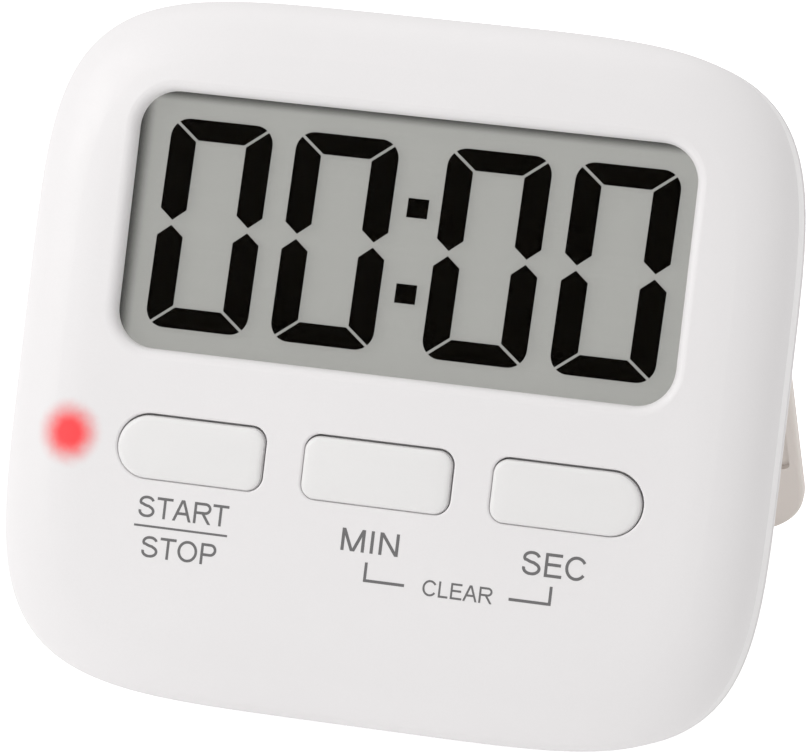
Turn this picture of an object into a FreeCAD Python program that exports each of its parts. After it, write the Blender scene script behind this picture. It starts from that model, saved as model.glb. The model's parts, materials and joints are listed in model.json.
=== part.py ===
"""Bench timer with a two-part case, a large display, three press keys and a folding rear stand.

Each sub-part is modelled upright in a case frame: X to the right, Y from the face backwards and
Z up, with the face at Y = 0 and the middle of the case outline on the Y axis.  At the end
everything is tilted back about X, so that the case's rear bottom edge and the foot of the open
stand both rest on Z = 0.  Lengths are in millimetres.
"""
import FreeCAD, Part
import math
import os

V = FreeCAD.Vector

# ---- case ----
CASE_HALF_X = 40.3
CASE_HALF_Z = 36.6
OUTLINE_POWER = 4.9
OUTLINE_POINTS = 64
WALL = 1.6
SEAM_Y = 7.0
SEAM_BEVEL = 0.2
FACE_ROUND_SPAN = 8.5
FACE_ROUND_RISE = 5.92
FACE_ROUND_POWER = 2.3
FACE_ROUND_CUT = 0.93
HOLLOW_SPAN = 6.5
HOLLOW_RISE = 4.2
STRAIGHT_END_Y = 7.5
REAR_DRAFT = math.radians(13.0)
REAR_DRAFT_END_Y = 17.9
REAR_EDGE_R = 1.2
FLOOR_Y = REAR_DRAFT_END_Y + REAR_EDGE_R
BACK_Y = 21.5
PAD_EDGE = 1.0
PAD_CORE_HALF_X = 27.0
PAD_CORE_BOTTOM = 19.5
PAD_CORE_TOP = 30.0
TONGUE = 0.7
TONGUE_DEPTH = 1.4
FIT = 0.05

# ---- display window and display stack ----
WINDOW_HALF_X = 29.6
WINDOW_BOTTOM = -0.45
WINDOW_TOP = 26.3
WINDOW_CORNER = 4.0
WINDOW_LIP = 1.1
LCD_Y = 1.5
POLARISER_THICK = 0.15
GLASS_THICK = 0.7
SEGMENT_THICK = 0.05
REFLECTOR_THICK = 0.2
GLASS_HALF_X = 30.8
GLASS_TOP = 27.4
REAR_GLASS_BOTTOM = -1.9
FRONT_GLASS_BOTTOM = -4.6
FILM_HALF_X = 30.3
FILM_BOTTOM = -1.4
FILM_TOP = 27.2
STACK_GAP = 0.01
FRONT_GLASS_Y = LCD_Y + POLARISER_THICK + STACK_GAP
SEGMENT_Y = FRONT_GLASS_Y + GLASS_THICK + STACK_GAP
REAR_GLASS_Y = SEGMENT_Y + SEGMENT_THICK + STACK_GAP
REFLECTOR_Y = REAR_GLASS_Y + GLASS_THICK + STACK_GAP
REFLECTOR_BACK = REFLECTOR_Y + REFLECTOR_THICK + STACK_GAP
FRAME_HALF_X = 32.2
FRAME_BOTTOM = -6.0
FRAME_TOP = 28.6
FRAME_CORNER = 3.0
FRAME_PLAY = 0.15
FRAME_OPENING_HALF_X = 28.0
FRAME_OPENING_BOTTOM = 0.5
FRAME_OPENING_TOP = 25.0
ZEBRA_HALF_X = 28.0
ZEBRA_BOTTOM = -4.4
ZEBRA_TOP = -2.4

# ---- digits ----
DIGIT_CENTRE_Z = 12.75
DIGIT_PITCH = 13.49
COLON_PITCH = 16.19
DIGITS_X = 0.36
DIGIT_HALF_W = 5.5
DIGIT_HALF_H = 10.9
STROKE_SIDE = 2.79
STROKE_END = 2.18
MITRE_GAP = 0.29
MIDDLE_GAP = 0.27
MIDDLE_TAPER = 1.14
DIGIT_CORNER = 2.0
COLON_X = 0.5
COLON_Z = 12.56
COLON_WIDTH = 2.2
COLON_HEIGHT = 2.0
COLON_HALF_GAP = 4.42
DIGIT_SLANT = math.tan(math.radians(1.39))

# ---- circuit board ----
PCB_Y = 4.5
PCB_THICK = 1.0
PCB_HALF_X = 35.5
PCB_BOTTOM = -20.5
PCB_TOP = 22.0
PCB_CORNER = 3.0
PCB_SCREWS = ((-33.8, 18.0), (33.8, 18.0), (-33.8, -17.5), (33.8, -17.5))
PCB_BACK = PCB_Y + PCB_THICK
PCB_BOSS_R = 1.4
PCB_SCREW_R = 0.6
PCB_SCREW_HEAD_R = 1.3
PCB_SCREW_HEAD_H = 0.9
PCB_SCREW_LEN = 2.2
PCB_PILOT_Y = 2.2
BOSS_ROOT_Y = WALL - 0.3
CHIP_X = 12.0
CHIP_Z = 15.5
CHIP_R = 4.5
CHIP_RISE = 1.5
CRYSTAL_X = -16.0
CRYSTAL_Z = 16.0
CRYSTAL_LEN = 6.0
CRYSTAL_R = 1.0
SMD_ROWS = 2
SMD_COLUMNS = 5
SMD_X = -26.0
SMD_Z = 10.5
SMD_PITCH_X = 3.4
SMD_PITCH_Z = 3.0
SMD_SIZE = (2.0, 0.6, 1.2)

# ---- keys ----
KEY_W = 15.55
KEY_H = 6.45
KEY_PITCH = 19.95
KEY_ROW_X = 0.2
KEY_Z = -10.5
KEY_CORNER = 1.5
KEY_GAP = 0.18
KEY_HOLE_LIP = 0.25
KEY_PROUD = 0.15
KEY_EDGE = 0.35
KEY_FLANGE = 0.9
KEY_FLANGE_Y = WALL + FIT
KEY_BACK_Y = 2.3
KEY_STEM_R = 1.5
PLUNGER_Y = 2.6
PLUNGER_R = 1.0
PLUNGER_END_Y = 3.4
SWITCH_Y = 3.0
SWITCH_SIDE = 4.5
SWITCH_WELL_Y = 4.1

# ---- indicator lamp ----
LAMP_X = -33.0
LAMP_Z = -10.1
LAMP_R = 1.5
LAMP_FRONT_Y = 2.4
LAMP_COLLAR = 0.3
LAMP_COLLAR_THICK = 0.8
LAMP_WINDOW_R = 2.3
LAMP_SKIN = 0.7

# ---- stand ----
STAND_HALF_X = 35.5
STAND_BOTTOM = -33.6
STAND_CORNER = 9.0
STAND_THICK = 2.1
STAND_FRONT_R = 0.5
STAND_REAR_R = 0.9
STAND_Y = 19.25
STAND_PIVOT_Y = 19.5
STAND_PIVOT_Z = 14.5
STAND_BARREL_R = 1.9
STAND_BARREL_HALF_X = 30.0
TRUNNION_R = 1.2
TRUNNION_LEN = 2.7
STAND_OPENING_HALF_X = 29.6
STAND_OPENING_BOTTOM = -30.2
STAND_OPENING_TOP = 8.5
STAND_OPENING_CORNER = 3.0
STAND_POCKETS = ((-20.1, -12.0), (-5.6, 6.0))
STAND_POCKET_RIM = 1.1
STAND_POCKET_DEPTH = 0.6
STAND_EAR_GAP = 0.6
EAR_INNER_X = 30.3
EAR_OUTER_X = 34.3
EAR_BOTTOM = 11.0
EAR_TIP_R = 1.8
HINGE_WEB_HALF_X = 35.0
HINGE_WEB_THICK = 1.6
HUMP_BOTTOM = 17.6
TROUGH_GAP = 0.25
LEAN = math.radians(27.3)

# ---- battery compartment ----
CELL_R = 5.25
CELL_LEN = 43.6
CELL_NUB_R = 1.9
CELL_NUB_LEN = 0.9
CELL_Y = 12.3
CELL_UPPER_Z = -11.6
CELL_LOWER_Z = -22.6
TRAY_HALF_X = 26.5
TRAY_BOTTOM = -28.0
TRAY_TOP = -6.2
TRAY_FLOOR_Y = 6.9
TRAY_WALL = 1.0
LEDGE_HALF_X = 29.4
LEDGE_Y = 15.9
LEDGE_MARGIN = 2.4
DOOR_THICK = 1.4
DOOR_HALF_X = 27.9
DOOR_TOP = -5.2
DOOR_PIVOT_Z = -28.7
DOOR_GAP = 0.12
DOOR_NUB_R = 0.5
DOOR_NUB_LEN = 0.8
DOOR_GROOVES = 4
DOOR_GROOVE_PITCH = 1.3
DOOR_GROOVE_DEPTH = 0.35
DOOR_GROOVE_HALF_X = 6.0
SCOOP_R = 7.0
SCOOP_RISE = 5.8
CONTACT_THICK = 0.4
CONTACT_HALF_Z = 4.0
CONTACT_Y0 = 8.2
CONTACT_Y1 = 16.4
SPRING_R = 3.2
SPRING_WIRE_R = 0.32
SPRING_TURNS = 4
SPRING_SIDES = 6
SPRING_STEPS = 16
BATTERY_LEAD_R = 0.5
BUZZER_LEAD_R = 0.4

# ---- slide switches, buzzer, magnets and case screws ----
SWITCH_SLOT_Z = 2.5
POWER_X = 17.0
MODE_X = -17.0
KNOB_W = 3.0
KNOB_H = 2.6
POWER_TRAVEL = 2.0
KNOB_TOP_Y = 18.9
KNOB_GROOVE_PITCH = 0.9
KNOB_GROOVE_HALF = 0.2
KNOB_GROOVE_DEPTH = 0.3
KNOB_FOOT_Y = 7.6
SWITCH_CASE_HALF_X = 4.6
SWITCH_CASE_HALF_Z = 2.2
SWITCH_CASE_BACK = 10.0
SWITCH_TRACK_HALF_X = 3.7
SWITCH_TRACK_HALF_Z = 1.35
SWITCH_TRACK_Y = 7.4
DISH_DEPTH = 1.0
DISH_HALF_X = 5.6
DISH_HALF_Z = 2.8
SLOT_HALF_X = 3.65
SLOT_HALF_Z = 1.4
PANEL_CUT = 3.0
BUZZER_Z = 3.4
BUZZER_R = 6.5
BUZZER_Y = 13.6
BUZZER_WALL = 0.8
BUZZER_SHELF = 1.2
PIEZO_THICK = 0.25
GRILLE_HOLE_R = 0.6
GRILLE_RING_R = 2.6
GRILLE_HOLES = 6
MAGNET_R = 6.0
MAGNET_THICK = 1.8
MAGNET_X = 16.0
MAGNET_Z = 25.0
CASE_SCREW_X = 31.5
CASE_SCREW_Z = -24.5
CASE_BOSS_SPLIT_Y = 8.0
CASE_BOSS_R = 2.4
REAR_BOSS_R = 3.0
CASE_PILOT_Y = 3.0
SCREW_SEAT_Y = 10.5
SCREW_SHANK_R = 0.85
SCREW_HEAD_R = 2.0
SCREW_HEAD_H = 1.3
SCREW_LEN = 6.2
SCREW_PLAY = 0.25
SCREW_TIP_R = 0.15
SCREW_TIP_LEN = 0.8


# ---------------------------------------------------------------- helpers
def box(x0, x1, y0, y1, z0, z1):
    """A block between two corners."""
    return Part.makeBox(x1 - x0, y1 - y0, z1 - z0, V(x0, y0, z0))


def rod_y(x, z, radius, y0, y1):
    """A cylinder whose axis runs along Y."""
    return Part.makeCylinder(radius, y1 - y0, V(x, y0, z), V(0, 1, 0))


def rod_x(y, z, radius, x0, x1):
    """A cylinder whose axis runs along X."""
    return Part.makeCylinder(radius, x1 - x0, V(x0, y, z), V(1, 0, 0))


def outline_wire(half_x, half_z, y):
    """The case outline at depth y: a superellipse with evenly spread points."""
    points = []
    for i in range(OUTLINE_POINTS):
        turn = 2.0 * math.pi * i / OUTLINE_POINTS
        c = math.cos(turn)
        s = math.sin(turn)
        reach = abs(c / half_x) ** OUTLINE_POWER + abs(s / half_z) ** OUTLINE_POWER
        radius = reach ** (-1.0 / OUTLINE_POWER)
        points.append(V(radius * c, y, radius * s))
    curve = Part.BSplineCurve()
    curve.interpolate(points, PeriodicFlag=True)
    return Part.Wire(curve.toShape())


def outline_skin(stations, half_x, half_z, ruled):
    """A solid through outlines; each station is (inset from the full outline, depth)."""
    wires = [outline_wire(half_x - inset, half_z - inset, y) for inset, y in stations]
    return Part.makeLoft(wires, True, ruled)


def round_rect(x0, x1, z0, z1, y, left_r, right_r):
    """A closed wire at depth y with one corner radius on the left and one on the right."""
    diagonal = math.sqrt(0.5)
    corners = (
        (x1 - right_r, z0 + right_r, right_r, 1, -1),
        (x1 - right_r, z1 - right_r, right_r, 1, 1),
        (x0 + left_r, z1 - left_r, left_r, -1, 1),
        (x0 + left_r, z0 + left_r, left_r, -1, -1),
    )
    arcs = []
    for cx, cz, radius, sx, sz in corners:
        at_side = V(cx + sx * radius, y, cz)
        at_end = V(cx, y, cz + sz * radius)
        middle = V(cx + sx * radius * diagonal, y, cz + sz * radius * diagonal)
        ends = (at_end, at_side) if sx * sz < 0 else (at_side, at_end)
        arcs.append((ends[0], middle, ends[1]))
    edges = []
    for i, arc in enumerate(arcs):
        edges.append(Part.Arc(*arc).toShape())
        start = arc[2]
        stop = arcs[(i + 1) % len(arcs)][0]
        if start.distanceToPoint(stop) > 1e-6:
            edges.append(Part.LineSegment(start, stop).toShape())
    return Part.Wire(edges)


def slab(wire, depth):
    """A flat-sided solid from a wire, pushed back by depth along Y."""
    return Part.Face(wire).extrude(V(0, depth, 0))


def edges_at_y(shape, y):
    """The edges that lie wholly at one depth."""
    found = []
    for edge in shape.Edges:
        bounds = edge.BoundBox
        if abs(bounds.YMin - y) < 1e-4 and abs(bounds.YMax - y) < 1e-4:
            found.append(edge)
    return found


def flared_cutter(x0, x1, z0, z1, left_r, right_r, depth, lip):
    """A through-cutter whose mouth at the face widens with a rounded lip."""
    front = -0.01
    spread = lip * 3.0
    plate = slab(round_rect(x0 - spread, x1 + spread, z0 - spread, z1 + spread,
                            front - 1.0, left_r + spread, right_r + spread), 1.0)
    throat = slab(round_rect(x0, x1, z0, z1, front - 0.5, left_r, right_r), depth + 0.5)
    cutter = plate.fuse(throat).removeSplitter()
    inner = []
    for edge in edges_at_y(cutter, front):
        middle = edge.valueAt(0.5 * (edge.FirstParameter + edge.LastParameter))
        if x0 - lip < middle.x < x1 + lip and z0 - lip < middle.z < z1 + lip:
            inner.append(edge)
    return cutter.makeFillet(lip, inner)


def join(first, others):
    """One solid from several that touch."""
    return first.fuse(others).removeSplitter()


def rounded_box(x0, x1, y0, y1, z0, z1, radius):
    """A block with rounded corners in the X-Z plane."""
    return slab(round_rect(x0, x1, z0, z1, y0, radius, radius), y1 - y0)


def wire_lead(points, radius):
    """A round flexible lead along a smooth curve."""
    path = Part.BSplineCurve()
    path.interpolate([V(*p) for p in points])
    spine = Part.Wire(path.toShape())
    start = V(*points[0])
    heading = path.tangent(path.FirstParameter)[0]
    circle = Part.Wire(Part.makeCircle(radius, start, heading))
    return spine.makePipeShell([circle], True, False)


# ---------------------------------------------------------------- case
def face_stations(span, rise, shift):
    """Stations of the soft edge, from its crease at the side wall round onto the flat face."""
    steps = 10
    crease = math.asin(FACE_ROUND_CUT ** (0.5 * FACE_ROUND_POWER))
    stations = []
    for i in range(steps + 1):
        turn = crease * (1.0 - i / steps)
        across = math.sin(turn) ** (2.0 / FACE_ROUND_POWER) / FACE_ROUND_CUT
        along = math.cos(turn) ** (2.0 / FACE_ROUND_POWER)
        stations.append((span * (1.0 - across), shift + rise * (1.0 - along)))
    return stations


def front_body():
    """The front shell before its openings: soft face edge, straight wall and hollow inside."""
    face = face_stations(FACE_ROUND_SPAN, FACE_ROUND_RISE, 0.0)
    pillow = outline_skin(face, CASE_HALF_X, CASE_HALF_Z, False)
    wall = outline_skin([(0.0, face[0][1]), (0.0, SEAM_Y - SEAM_BEVEL), (SEAM_BEVEL, SEAM_Y)],
                        CASE_HALF_X, CASE_HALF_Z, True)
    inner_x = CASE_HALF_X - WALL
    inner_z = CASE_HALF_Z - WALL
    inner = face_stations(HOLLOW_SPAN, HOLLOW_RISE, WALL)
    hollow_face = outline_skin(inner, inner_x, inner_z, False)
    hollow_wall = outline_skin([(0.0, inner[0][1]), (0.0, SEAM_Y + 1.0)], inner_x, inner_z, True)
    rebate = outline_skin([(0.0, SEAM_Y - TONGUE_DEPTH), (0.0, SEAM_Y + 1.0)],
                          inner_x + TONGUE + FIT, inner_z + TONGUE + FIT, True)
    shell = pillow.fuse(wall)
    return shell.cut([hollow_face, hollow_wall, rebate])


def key_x(index):
    """Where the middle of one key lies along the row."""
    return KEY_ROW_X + (index - 1) * KEY_PITCH


def key_outline(index, grow, y):
    """The outline of one key; the outer end of each outer key is a half circle."""
    x_mid = key_x(index)
    half = KEY_H / 2 + grow
    left = half if index == 0 else KEY_CORNER + grow
    right = half if index == 2 else KEY_CORNER + grow
    return (x_mid - KEY_W / 2 - grow, x_mid + KEY_W / 2 + grow,
            KEY_Z - half, KEY_Z + half, y, left, right)


def front_shell():
    """The face and side wall, with window, key holes, display pocket, lamp skin and bosses."""
    shell = front_body()
    bosses = [rod_y(x, z, PCB_BOSS_R, BOSS_ROOT_Y, PCB_Y) for x, z in PCB_SCREWS]
    for side in (-1, 1):
        bosses.append(rod_y(side * CASE_SCREW_X, CASE_SCREW_Z, CASE_BOSS_R, BOSS_ROOT_Y,
                            CASE_BOSS_SPLIT_Y))
    shell = shell.fuse(bosses)
    cuts = [
        flared_cutter(-WINDOW_HALF_X, WINDOW_HALF_X, WINDOW_BOTTOM, WINDOW_TOP,
                      WINDOW_CORNER, WINDOW_CORNER, PANEL_CUT, WINDOW_LIP),
        box(-GLASS_HALF_X - FRAME_PLAY, GLASS_HALF_X + FRAME_PLAY, LCD_Y - FIT, PCB_Y,
            FRONT_GLASS_BOTTOM - FRAME_PLAY, GLASS_TOP + FRAME_PLAY),
        rounded_box(-FRAME_HALF_X - FRAME_PLAY, FRAME_HALF_X + FRAME_PLAY, REAR_GLASS_Y - FIT,
                    SEAM_Y, FRAME_BOTTOM - FRAME_PLAY, FRAME_TOP + FRAME_PLAY, FRAME_CORNER),
        rod_y(LAMP_X, LAMP_Z, LAMP_WINDOW_R, LAMP_SKIN, PCB_Y),
    ]
    for index in range(3):
        x0, x1, z0, z1, _, left, right = key_outline(index, KEY_GAP, 0.0)
        cuts.append(flared_cutter(x0, x1, z0, z1, left, right, PANEL_CUT, KEY_HOLE_LIP))
        cuts.append(slab(round_rect(*key_outline(index, KEY_FLANGE + 0.2, WALL)), 2.0))
    for x, z in PCB_SCREWS:
        cuts.append(rod_y(x, z, PCB_SCREW_R, PCB_PILOT_Y, PCB_Y + 1.0))
    for side in (-1, 1):
        cuts.append(rod_y(side * CASE_SCREW_X, CASE_SCREW_Z, SCREW_SHANK_R, CASE_PILOT_Y,
                          CASE_BOSS_SPLIT_Y + 1.0))
    return shell.cut(cuts)


def rear_body():
    """The rear shell before its details: draft, rounded rear edge, upper pad and hollow inside."""
    slope = math.tan(REAR_DRAFT)
    draft_inset = (REAR_DRAFT_END_Y - STRAIGHT_END_Y) * slope
    straight = outline_skin([(SEAM_BEVEL, SEAM_Y), (0.0, SEAM_Y + SEAM_BEVEL),
                             (0.0, STRAIGHT_END_Y), (draft_inset, REAR_DRAFT_END_Y)],
                            CASE_HALF_X, CASE_HALF_Z, True)
    steps = 6
    rounding = []
    for i in range(steps + 1):
        turn = 0.5 * math.pi * i / steps
        rounding.append((draft_inset + REAR_EDGE_R * (1.0 - math.cos(turn)),
                         REAR_DRAFT_END_Y + REAR_EDGE_R * math.sin(turn)))
    edge = outline_skin(rounding, CASE_HALF_X, CASE_HALF_Z, False)
    pad_inset = draft_inset + REAR_EDGE_R
    pad = outline_skin([(pad_inset, FLOOR_Y - 0.5 * REAR_EDGE_R),
                        (pad_inset + 0.3 * PAD_EDGE, BACK_Y - 0.8 * PAD_EDGE),
                        (pad_inset + 0.55 * PAD_EDGE, BACK_Y - 0.25 * PAD_EDGE),
                        (pad_inset + PAD_EDGE, BACK_Y)],
                       CASE_HALF_X, CASE_HALF_Z, True)
    pad = pad.cut(box(-50, 50, FLOOR_Y, BACK_Y + 1, -50, HUMP_BOTTOM))
    hollow = outline_skin([(0.0, SEAM_Y - 1.0), (0.0, STRAIGHT_END_Y),
                           (draft_inset, FLOOR_Y - WALL)],
                          CASE_HALF_X - WALL, CASE_HALF_Z - WALL, True)
    pad_core = rounded_box(-PAD_CORE_HALF_X, PAD_CORE_HALF_X, FLOOR_Y - WALL - 0.5,
                           BACK_Y - MAGNET_THICK - 0.7, PAD_CORE_BOTTOM, PAD_CORE_TOP, 3.0)
    shell = straight.fuse([edge, pad])
    return shell.cut([hollow, pad_core])


def rear_tongue():
    """The lip of the rear shell that seats inside the front shell's rebate."""
    start = SEAM_Y - TONGUE_DEPTH + 0.1
    outer = outline_skin([(0.0, start), (0.0, STRAIGHT_END_Y)],
                         CASE_HALF_X - WALL + TONGUE, CASE_HALF_Z - WALL + TONGUE, True)
    inner = outline_skin([(0.0, start - 1.0), (0.0, STRAIGHT_END_Y + 1.0)],
                         CASE_HALF_X - WALL, CASE_HALF_Z - WALL, True)
    return outer.cut(inner)


def hinge_ears():
    """Two ears that hold the stand's trunnions, with the thick wall behind the barrel."""
    web_y = FLOOR_Y - WALL
    parts = [box(-HINGE_WEB_HALF_X, HINGE_WEB_HALF_X, web_y - HINGE_WEB_THICK, web_y + 0.5,
                 EAR_BOTTOM, HUMP_BOTTOM + 0.6)]
    for side in (-1, 1):
        x0, x1 = sorted((side * EAR_INNER_X, side * EAR_OUTER_X))
        ear = box(x0, x1, FLOOR_Y - 0.5, BACK_Y - 0.1, EAR_BOTTOM, HUMP_BOTTOM + 0.5)
        lower = []
        for edge in ear.Edges:
            bounds = edge.BoundBox
            if bounds.ZMax < EAR_BOTTOM + 0.01 and bounds.YMin > BACK_Y - 0.2:
                lower.append(edge)
        parts.append(ear.makeFillet(EAR_TIP_R, lower))
    return parts


def battery_tray():
    """The walls and ledge of the battery compartment."""
    tray = box(-TRAY_HALF_X - TRAY_WALL, TRAY_HALF_X + TRAY_WALL, TRAY_FLOOR_Y - TRAY_WALL,
               FLOOR_Y - WALL + 0.2, TRAY_BOTTOM - TRAY_WALL, TRAY_TOP + TRAY_WALL)
    ledge = box(-LEDGE_HALF_X, LEDGE_HALF_X, LEDGE_Y, FLOOR_Y - 0.4, TRAY_BOTTOM - LEDGE_MARGIN,
                TRAY_TOP + LEDGE_MARGIN)
    return [tray, ledge]


def door_opening():
    """The space that the battery door and its nubs fill, with a finger scoop above it."""
    y0 = FLOOR_Y - DOOR_THICK - DOOR_GAP
    pivot_y = FLOOR_Y - DOOR_THICK / 2
    half_x = DOOR_HALF_X + DOOR_GAP
    barrel_r = DOOR_THICK / 2 + DOOR_GAP
    cuts = [
        box(-half_x, half_x, y0, FLOOR_Y + 1.0, DOOR_PIVOT_Z, DOOR_TOP + DOOR_GAP),
        rod_x(pivot_y, DOOR_PIVOT_Z, barrel_r, -half_x, half_x),
        box(-half_x, half_x, pivot_y, FLOOR_Y + 1.0, DOOR_PIVOT_Z - barrel_r, DOOR_PIVOT_Z + 0.1),
        rod_x(pivot_y, DOOR_PIVOT_Z, DOOR_NUB_R + FIT, -half_x - DOOR_NUB_LEN - FIT,
              half_x + DOOR_NUB_LEN + FIT),
    ]
    scoop = Part.makeSphere(SCOOP_R, V(0, FLOOR_Y + SCOOP_RISE, DOOR_TOP + 0.2))
    return cuts + [scoop]


def screw_boss_rear(side):
    """A rear boss down to the split, as (solid, cutters)."""
    x = side * CASE_SCREW_X
    solid = rod_y(x, CASE_SCREW_Z, REAR_BOSS_R, CASE_BOSS_SPLIT_Y, FLOOR_Y - 0.6)
    cutters = [rod_y(x, CASE_SCREW_Z, SCREW_HEAD_R + SCREW_PLAY, SCREW_SEAT_Y, FLOOR_Y + 1.0),
               rod_y(x, CASE_SCREW_Z, SCREW_SHANK_R + SCREW_PLAY, CASE_BOSS_SPLIT_Y - 1.0,
                     SCREW_SEAT_Y)]
    return solid, cutters


def rear_cutters():
    """Switch slots with their dishes, the sounder grille, magnet pockets and the hinge trough."""
    cuts = []
    for x in (POWER_X, MODE_X):
        cuts.append(rounded_box(x - DISH_HALF_X, x + DISH_HALF_X, FLOOR_Y - DISH_DEPTH,
                                FLOOR_Y + 1.0, SWITCH_SLOT_Z - DISH_HALF_Z,
                                SWITCH_SLOT_Z + DISH_HALF_Z, 1.4))
        cuts.append(rounded_box(x - SLOT_HALF_X, x + SLOT_HALF_X, FLOOR_Y - PANEL_CUT, FLOOR_Y,
                                SWITCH_SLOT_Z - SLOT_HALF_Z, SWITCH_SLOT_Z + SLOT_HALF_Z, 0.6))
    cuts.append(rod_y(0, BUZZER_Z, GRILLE_HOLE_R, FLOOR_Y - PANEL_CUT, FLOOR_Y + 1.0))
    for i in range(GRILLE_HOLES):
        turn = 2.0 * math.pi * i / GRILLE_HOLES
        cuts.append(rod_y(GRILLE_RING_R * math.cos(turn), BUZZER_Z + GRILLE_RING_R * math.sin(turn),
                          GRILLE_HOLE_R, FLOOR_Y - PANEL_CUT, FLOOR_Y + 1.0))
    for side in (-1, 1):
        cuts.append(rod_y(side * MAGNET_X, MAGNET_Z, MAGNET_R + 0.1, BACK_Y - MAGNET_THICK,
                          BACK_Y + 1.0))
        x0, x1 = sorted((side * (EAR_INNER_X - 0.1), side * (EAR_INNER_X + TRUNNION_LEN)))
        cuts.append(rod_x(STAND_PIVOT_Y, STAND_PIVOT_Z, TRUNNION_R + FIT, x0, x1))
    trough_r = STAND_BARREL_R + TROUGH_GAP
    cuts.append(rod_x(STAND_PIVOT_Y, STAND_PIVOT_Z, trough_r, -EAR_INNER_X, EAR_INNER_X))
    cuts.append(box(-EAR_INNER_X, EAR_INNER_X, STAND_PIVOT_Y, BACK_Y + 1.0,
                    STAND_PIVOT_Z - 3.0, STAND_PIVOT_Z + trough_r + 1.2))
    return cuts


def rear_shell():
    """The back of the case."""
    shell = rear_body().fuse([rear_tongue()] + hinge_ears() + battery_tray())
    cuts = [box(-TRAY_HALF_X, TRAY_HALF_X, TRAY_FLOOR_Y, FLOOR_Y + 1.0, TRAY_BOTTOM, TRAY_TOP)]
    solids = []
    for side in (-1, 1):
        solid, cutters = screw_boss_rear(side)
        solids.append(solid)
        cuts += cutters
    return shell.fuse(solids).cut(cuts + door_opening() + rear_cutters())


# ---------------------------------------------------------------- display
def lcd_layer(y, thick, half_x, bottom, top):
    """One flat layer of the display."""
    return box(-half_x, half_x, y, y + thick, bottom, top)


def segment_prism(points):
    """One display segment from its corner points in the digit's own plane."""
    corners = [V(x, SEGMENT_Y, z) for x, z in points]
    return slab(Part.makePolygon(corners + [corners[0]]), SEGMENT_THICK)


def digit_segments(x_mid):
    """The six lit segments of a zero, mitred at the corners and split at mid height."""
    w, h = DIGIT_HALF_W, DIGIT_HALF_H
    inner = V(w - STROKE_SIDE, 0, h - STROKE_END)
    mitre = V(STROKE_SIDE, 0, STROKE_END)
    across = V(-mitre.z, 0, mitre.x).normalize() * (0.5 * MITRE_GAP)
    round_cut = slab(round_rect(-w, w, -h, h, SEGMENT_Y - 1.0, DIGIT_CORNER, DIGIT_CORNER), 3.0)
    bar_in = inner.x + across.x - mitre.x * across.z / mitre.z
    bar_out = bar_in + mitre.x
    post_in = inner.z - across.z + mitre.z * across.x / mitre.x
    post_out = post_in + mitre.z
    taper = MIDDLE_GAP + MIDDLE_TAPER
    segments = []
    for up in (-1, 1):
        bar = [(-bar_out, up * h), (bar_out, up * h), (bar_in, up * inner.z),
               (-bar_in, up * inner.z)]
        segments.append(segment_prism(bar).common(round_cut))
        for side in (-1, 1):
            upright = [(side * w, up * post_out), (side * w, up * taper),
                       (side * (w - 0.5 * STROKE_SIDE), up * MIDDLE_GAP),
                       (side * inner.x, up * taper), (side * inner.x, up * post_in)]
            segments.append(segment_prism(upright).common(round_cut))
    for segment in segments:
        segment.translate(V(x_mid, 0, DIGIT_CENTRE_Z))
    return segments


def lcd_segments():
    """All lit segments: four digits and a colon."""
    half_colon = COLON_PITCH / 2
    centres = (-half_colon - DIGIT_PITCH, -half_colon, half_colon, half_colon + DIGIT_PITCH)
    solids = []
    for centre in centres:
        solids += digit_segments(DIGITS_X + centre)
    half_w = COLON_WIDTH / 2
    half_h = COLON_HEIGHT / 2
    for up in (-1, 1):
        z = COLON_Z + up * COLON_HALF_GAP
        solids.append(box(COLON_X - half_w, COLON_X + half_w, SEGMENT_Y,
                          SEGMENT_Y + SEGMENT_THICK, z - half_h, z + half_h))
    slant = FreeCAD.Matrix()
    slant.A13 = DIGIT_SLANT
    slant.A14 = -DIGIT_SLANT * DIGIT_CENTRE_Z
    return Part.makeCompound([solid.transformGeometry(slant) for solid in solids])


def lcd_frame():
    """The plastic frame that presses the display against the front shell."""
    back = PCB_Y
    play = 0.1
    ring = rounded_box(-FRAME_HALF_X, FRAME_HALF_X, REAR_GLASS_Y, back, FRAME_BOTTOM, FRAME_TOP,
                       FRAME_CORNER)
    seat = box(-GLASS_HALF_X - play, GLASS_HALF_X + play, REAR_GLASS_Y - 1.0, REFLECTOR_BACK,
               REAR_GLASS_BOTTOM - play, GLASS_TOP + play)
    through = rounded_box(-FRAME_OPENING_HALF_X, FRAME_OPENING_HALF_X, REAR_GLASS_Y, back + 1.0,
                          FRAME_OPENING_BOTTOM, FRAME_OPENING_TOP, 2.0)
    strip_slot = box(-ZEBRA_HALF_X - 2 * play, ZEBRA_HALF_X + 2 * play, REAR_GLASS_Y - 1.0,
                     back + 1.0, ZEBRA_BOTTOM - play, ZEBRA_TOP + play)
    return ring.cut([seat, through, strip_slot])


# ---------------------------------------------------------------- electronics
def main_pcb():
    """The circuit board, with its screw holes."""
    board = rounded_box(-PCB_HALF_X, PCB_HALF_X, PCB_Y, PCB_BACK, PCB_BOTTOM, PCB_TOP, PCB_CORNER)
    return board.cut([rod_y(x, z, 0.8, PCB_Y - 1, PCB_BACK + 1) for x, z in PCB_SCREWS])


def chip_glob():
    """The resin dome over the timer chip."""
    sphere_r = (CHIP_R ** 2 + CHIP_RISE ** 2) / (2 * CHIP_RISE)
    ball = Part.makeSphere(sphere_r, V(CHIP_X, PCB_BACK + CHIP_RISE - sphere_r, CHIP_Z))
    return ball.common(box(CHIP_X - CHIP_R - 1, CHIP_X + CHIP_R + 1, PCB_BACK,
                           PCB_BACK + CHIP_RISE + 1, CHIP_Z - CHIP_R - 1, CHIP_Z + CHIP_R + 1))


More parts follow.
